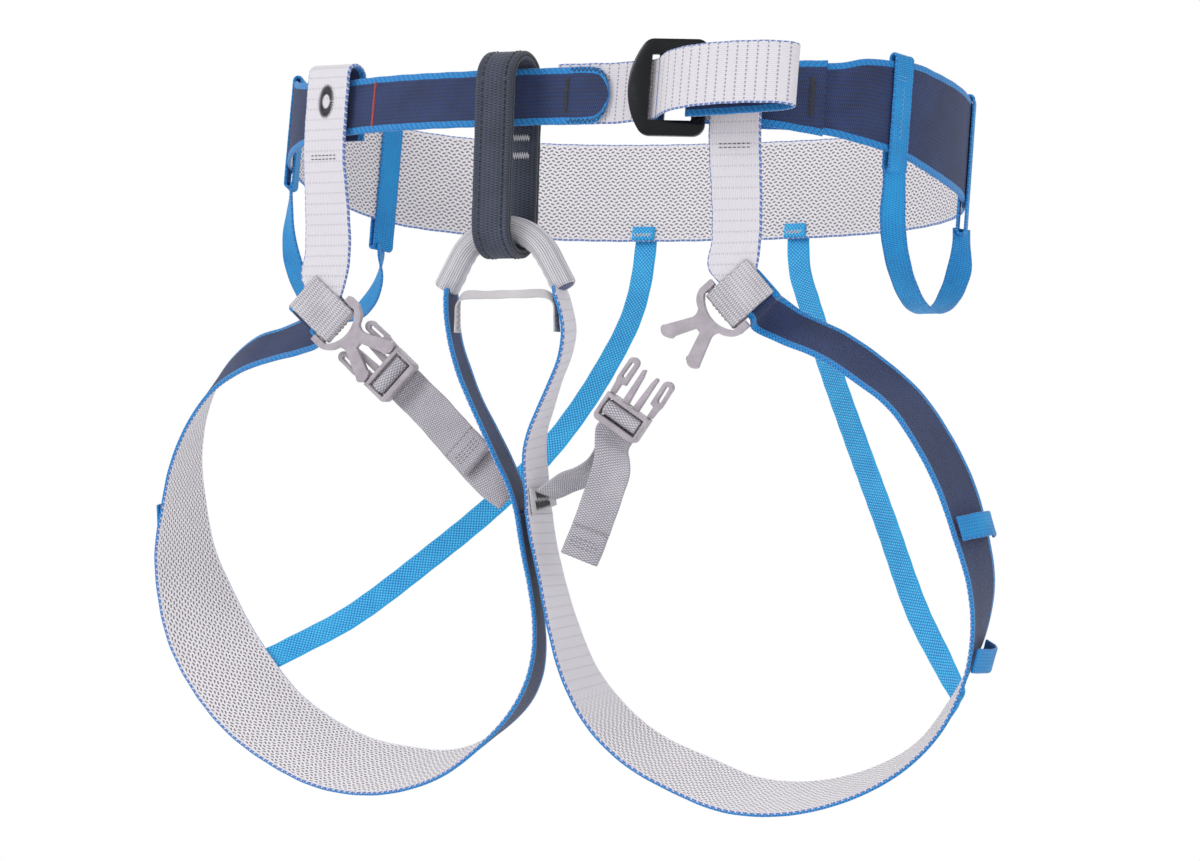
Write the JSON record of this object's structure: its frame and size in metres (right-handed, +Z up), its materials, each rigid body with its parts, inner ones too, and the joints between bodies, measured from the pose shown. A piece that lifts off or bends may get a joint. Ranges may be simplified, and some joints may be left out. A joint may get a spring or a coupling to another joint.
{
  "type": "climbing harness",
  "caption": "Light ski mountaineering harness: waist webbing with slide buckle, belay loop, tie-in bridge, open leg loops with hook buckles, gear loops and rear elastics.",
  "frame": {"origin": "centre of the waist opening, half way up the waist webbing", "axes": "+Z up towards the wearer's head, -Y out of the wearer's front, +X to the right of the page when the front is seen; the waist ring leans 9.7 degrees, front up"},
  "size_m": [0.4609, 0.2515, 0.3685],
  "materials": {
    "harness_webbing": "woven nylon, navy with blue edges, light grey inside",
    "strap_webbing": "woven nylon, light grey",
    "belay_webbing": "dense woven nylon, slate grey",
    "sleeve_knit": "tubular knit, light grey",
    "blue_elastic": "woven elastic, sky blue",
    "blue_webbing": "woven nylon, bright blue",
    "black_thread": "zigzag stitched thread, black",
    "pale_thread": "zigzag stitched thread, pale",
    "grey_plastic": "moulded acetal, satin grey",
    "black_metal": "black anodised, glossy",
    "buckle_steel": "satin steel"
  },
  "bodies": {
    "root": {"waist_webbing": "harness_webbing", "waist_strap": "strap_webbing", "waist_strap_tail": "strap_webbing", "waist_buckle_rear_frame": "buckle_steel", "waist_bar_tacks": "black_thread", "riser_left": "harness_webbing", "riser_right": "harness_webbing", "leg_webbing_left": "harness_webbing", "leg_webbing_right": "harness_webbing", "buckle_anchor_left": "strap_webbing", "buckle_anchor_right": "strap_webbing", "hook_left": "grey_plastic", "crotch_tab": "strap_webbing", "crotch_bar_tacks": "black_thread", "rear_elastic_left": "blue_elastic", "rear_elastic_right": "blue_elastic", "rear_elastic_ends": "blue_elastic", "gear_strip_front_left": "blue_webbing", "gear_strip_front_right": "blue_webbing", "gear_strip_rear_left": "blue_webbing", "gear_strip_rear_right": "blue_webbing", "ice_screw_holder_left_upper": "blue_webbing", "ice_screw_holder_left_lower": "blue_webbing", "ice_screw_holder_right_upper": "blue_webbing", "ice_screw_holder_right_lower": "blue_webbing"},
    "belay": {"belay_loop": "belay_webbing", "belay_bar_tacks": "pale_thread"},
    "bridge": {"tie_in_sleeve": "sleeve_knit", "bridge_core": "harness_webbing", "bridge_webbing_left": "harness_webbing", "bridge_webbing_right": "harness_webbing", "bridge_keeper": "strap_webbing"},
    "gear_left": {"gear_loop_left": "blue_webbing"},
    "gear_right": {"gear_loop_right": "blue_webbing"},
    "waist_slider": {"waist_buckle_front_frame": "black_metal"},
    "strap_left": {"leg_strap_left": "strap_webbing", "leg_strap_left_hem": "strap_webbing", "latch_left_frame": "grey_plastic"},
    "strap_right": {"leg_strap_right": "strap_webbing", "leg_strap_right_hem": "strap_webbing", "latch_right_frame": "grey_plastic"},
    "hook_right_swing": {"hook_right": "grey_plastic"},
    "tab_left_upper": {"latch_left_tab_upper": "grey_plastic"},
    "tab_left_lower": {"latch_left_tab_lower": "grey_plastic"},
    "tab_right_upper": {"latch_right_tab_upper": "grey_plastic"},
    "tab_right_lower": {"latch_right_tab_lower": "grey_plastic"}
  },
  "joints": [
    {"name": "belay_swing", "type": "hinge", "parent": "root", "child": "belay", "pos_m": [-0.0026, -0.1145, 0.033], "axis": [1, 0, 0], "range_deg": [-5, 7.5]},
    {"name": "bridge_swing", "type": "hinge", "parent": "root", "child": "bridge", "pos_m": [0, -0.109, -0.178], "axis": [1, 0, 0], "range_deg": [-4.5, 3.4]},
    {"name": "gear_loop_left_swing", "type": "hinge", "parent": "root", "child": "gear_left", "pos_m": [-0.16824, -0.04449, -0.01634], "axis": [0.03, 0.9491, -0.3136], "range_deg": [0, 80]},
    {"name": "gear_loop_right_swing", "type": "hinge", "parent": "root", "child": "gear_right", "pos_m": [0.16824, -0.04449, -0.01634], "axis": [0.0042, -0.9463, 0.3231], "range_deg": [0, 80]},
    {"name": "waist_buckle_slide", "type": "slide", "parent": "root", "child": "waist_slider", "axis": [-0.9744, -0.2217, 0.0379], "range_m": [0, 0.0045]},
    {"name": "strap_left_lift", "type": "hinge", "parent": "root", "child": "strap_left", "pos_m": [-0.0122, -0.0995, -0.175], "axis": [-0.6671, -0.1418, -0.7313], "range_deg": [0, 7], "stiffness_Nm_per_rad": 0.3},
    {"name": "strap_right_swing", "type": "hinge", "parent": "root", "child": "strap_right", "pos_m": [0.0088, -0.0985, -0.172], "axis": [0, 1, 0], "range_deg": [-12, 25], "stiffness_Nm_per_rad": 0.3},
    {"name": "hook_right_turn", "type": "hinge", "parent": "root", "child": "hook_right_swing", "pos_m": [0.1086, -0.1046, -0.083], "axis": [0.6353, 0.135, -0.7604], "range_deg": [-30, 30]},
    {"name": "tab_left_upper_flex", "type": "hinge", "parent": "strap_left", "child": "tab_left_upper", "pos_m": [-0.07449, -0.09806, -0.10131], "axis": [0.2079, -0.9781, 0], "range_deg": [0, 6], "stiffness_Nm_per_rad": 0.05},
    {"name": "tab_left_lower_flex", "type": "hinge", "parent": "strap_left", "child": "tab_left_lower", "pos_m": [-0.08903, -0.10115, -0.11725], "axis": [-0.2079, 0.9781, 0], "range_deg": [0, 6]},
    {"name": "tab_right_upper_flex", "type": "hinge", "parent": "strap_right", "child": "tab_right_upper", "pos_m": [0.05031, -0.10792, -0.12296], "axis": [-0.2079, 0.9781, 0], "range_deg": [0, 6], "stiffness_Nm_per_rad": 0.05},
    {"name": "tab_right_lower_flex", "type": "hinge", "parent": "strap_right", "child": "tab_right_lower", "pos_m": [0.06789, -0.10419, -0.13531], "axis": [0.2079, -0.9781, 0], "range_deg": [0, 6]}
  ],
  "couplings": [
    {"joint": "bridge_swing", "follows": "belay_swing", "ratio": -0.56},
    {"joint": "tab_left_lower_flex", "follows": "tab_left_upper_flex", "ratio": 1},
    {"joint": "tab_right_lower_flex", "follows": "tab_right_upper_flex", "ratio": 1}
  ]
}
